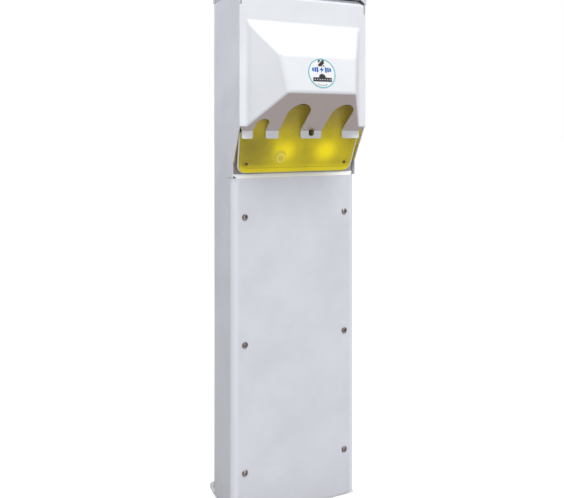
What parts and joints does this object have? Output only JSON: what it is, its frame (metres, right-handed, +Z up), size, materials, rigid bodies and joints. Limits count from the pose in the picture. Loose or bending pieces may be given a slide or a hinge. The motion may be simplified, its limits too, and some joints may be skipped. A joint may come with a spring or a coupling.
{
  "type": "power pedestal",
  "caption": "Free-standing charging post: hinged faceted hood with cable slots over covered sockets, yellow light box, screwed access panel and a bolted base.",
  "frame": {"origin": "on the ground, at the middle of the post's footprint from the hood's front fold to the ends of the rear ears", "axes": "+Z up; +Y to the back; +X to the right as the hood is faced"},
  "size_m": [0.2598, 0.2524, 0.988],
  "materials": {
    "white_paint": "powder coated, fine texture",
    "hood_white": "formed sheet, satin gloss",
    "zinc_steel": "zinc plated",
    "stainless": "plain stainless",
    "black_plastic": "moulded",
    "black_rubber": "matt",
    "badge_vinyl": null,
    "tray_white": "moulded, smooth",
    "lens_yellow": "translucent polycarbonate",
    "lamp_cover": "diffusing",
    "sensor_dome": "translucent dome",
    "grey_panel": "satin paint",
    "socket_yellow": "moulded",
    "brass": "plain",
    "breaker_grey": "moulded",
    "toggle_black": "moulded",
    "button_blue": "moulded",
    "terminal_cream": "moulded",
    "wire_black": "insulation",
    "wire_red": "insulation",
    "wire_white": "insulation",
    "wire_green": "insulation"
  },
  "bodies": {
    "post": {"base_plate": "zinc_steel", "conduit_bushing": "black_plastic", "shell_feet": "zinc_steel", "foot_bolts": "stainless", "post_shell": "white_paint", "top_cap": "white_paint", "cap_screws": "stainless", "header_rail": "zinc_steel", "panel_rails": "zinc_steel", "shell_rivets": "stainless", "access_panel": "white_paint", "panel_gasket": "black_rubber", "panel_screws": "stainless", "divider_shelf": "zinc_steel", "wire_grommet": "black_rubber", "hinge_leaves_fixed": "stainless", "hinge_pins": "stainless", "hinge_screws": "stainless", "door_bumpers": "black_rubber", "lock_staple": "stainless", "light_tray": "tray_white", "lens": "lens_yellow", "lens_screws": "stainless", "lamp_bracket": "zinc_steel", "lamps": "lamp_cover", "lamp_driver": "black_plastic", "photocell": "sensor_dome", "socket_panel": "grey_panel", "socket_panel_screws": "stainless", "socket_housings": "socket_yellow", "socket_inserts": "black_plastic", "socket_contacts": "brass", "socket_screws": "stainless", "flap_pins": "stainless", "din_rail": "zinc_steel", "breakers": "breaker_grey", "lever_pins": "stainless", "button_housing": "black_plastic", "gear_plate": "zinc_steel", "plate_standoffs": "stainless", "terminal_block": "terminal_cream", "terminal_screws": "brass", "ground_bar": "brass", "ground_screws": "stainless", "supply_wires": "wire_black", "socket_wires": "wire_red", "lamp_wires": "wire_white", "ground_wire": "wire_green"},
    "door": {"hood_door": "hood_white", "hinge_leaves_door": "stainless", "hinge_rivets": "stainless", "badge": "badge_vinyl"},
    "cover_small": {"flap_small": "socket_yellow"},
    "cover_left": {"flap_left": "socket_yellow"},
    "cover_right": {"flap_right": "socket_yellow"},
    "toggle_small": {"lever_small": "toggle_black"},
    "toggle_left": {"lever_left": "toggle_black"},
    "toggle_right": {"lever_right": "toggle_black"},
    "button": {"test_button": "button_blue"}
  },
  "joints": [
    {"name": "hood_hinge", "type": "hinge", "parent": "post", "child": "door", "pos_m": [0, -0.04775, 0.938], "axis": [-1, 0, 0], "range_deg": [0, 85]},
    {"name": "cover_small_hinge", "type": "hinge", "parent": "post", "child": "cover_small", "pos_m": [-0.086, -0.02313, 0.83944], "axis": [-1, 0, 0], "range_deg": [0, 100], "stiffness_Nm_per_rad": 0.02, "springref_deg": -34.38},
    {"name": "cover_left_hinge", "type": "hinge", "parent": "post", "child": "cover_left", "pos_m": [-0.0265, -0.02659, 0.84883], "axis": [-1, 0, 0], "range_deg": [0, 100], "stiffness_Nm_per_rad": 0.02, "springref_deg": -34.38},
    {"name": "cover_right_hinge", "type": "hinge", "parent": "post", "child": "cover_right", "pos_m": [0.06, -0.02659, 0.84883], "axis": [-1, 0, 0], "range_deg": [0, 100], "stiffness_Nm_per_rad": 0.02, "springref_deg": -34.38},
    {"name": "toggle_small_hinge", "type": "hinge", "parent": "post", "child": "toggle_small", "pos_m": [-0.054, -0.02475, 0.896], "axis": [1, 0, 0], "range_deg": [0, 50]},
    {"name": "toggle_left_hinge", "type": "hinge", "parent": "post", "child": "toggle_left", "pos_m": [-0.024, -0.02475, 0.896], "axis": [1, 0, 0], "range_deg": [0, 50]},
    {"name": "toggle_right_hinge", "type": "hinge", "parent": "post", "child": "toggle_right", "pos_m": [0.018, -0.02475, 0.896], "axis": [1, 0, 0], "range_deg": [0, 50]},
    {"name": "button_slide", "type": "slide", "parent": "post", "child": "button", "axis": [0, 1, 0], "range_m": [0, 0.0025], "stiffness_N_per_m": 400, "springref_m": -0.002}
  ]
}
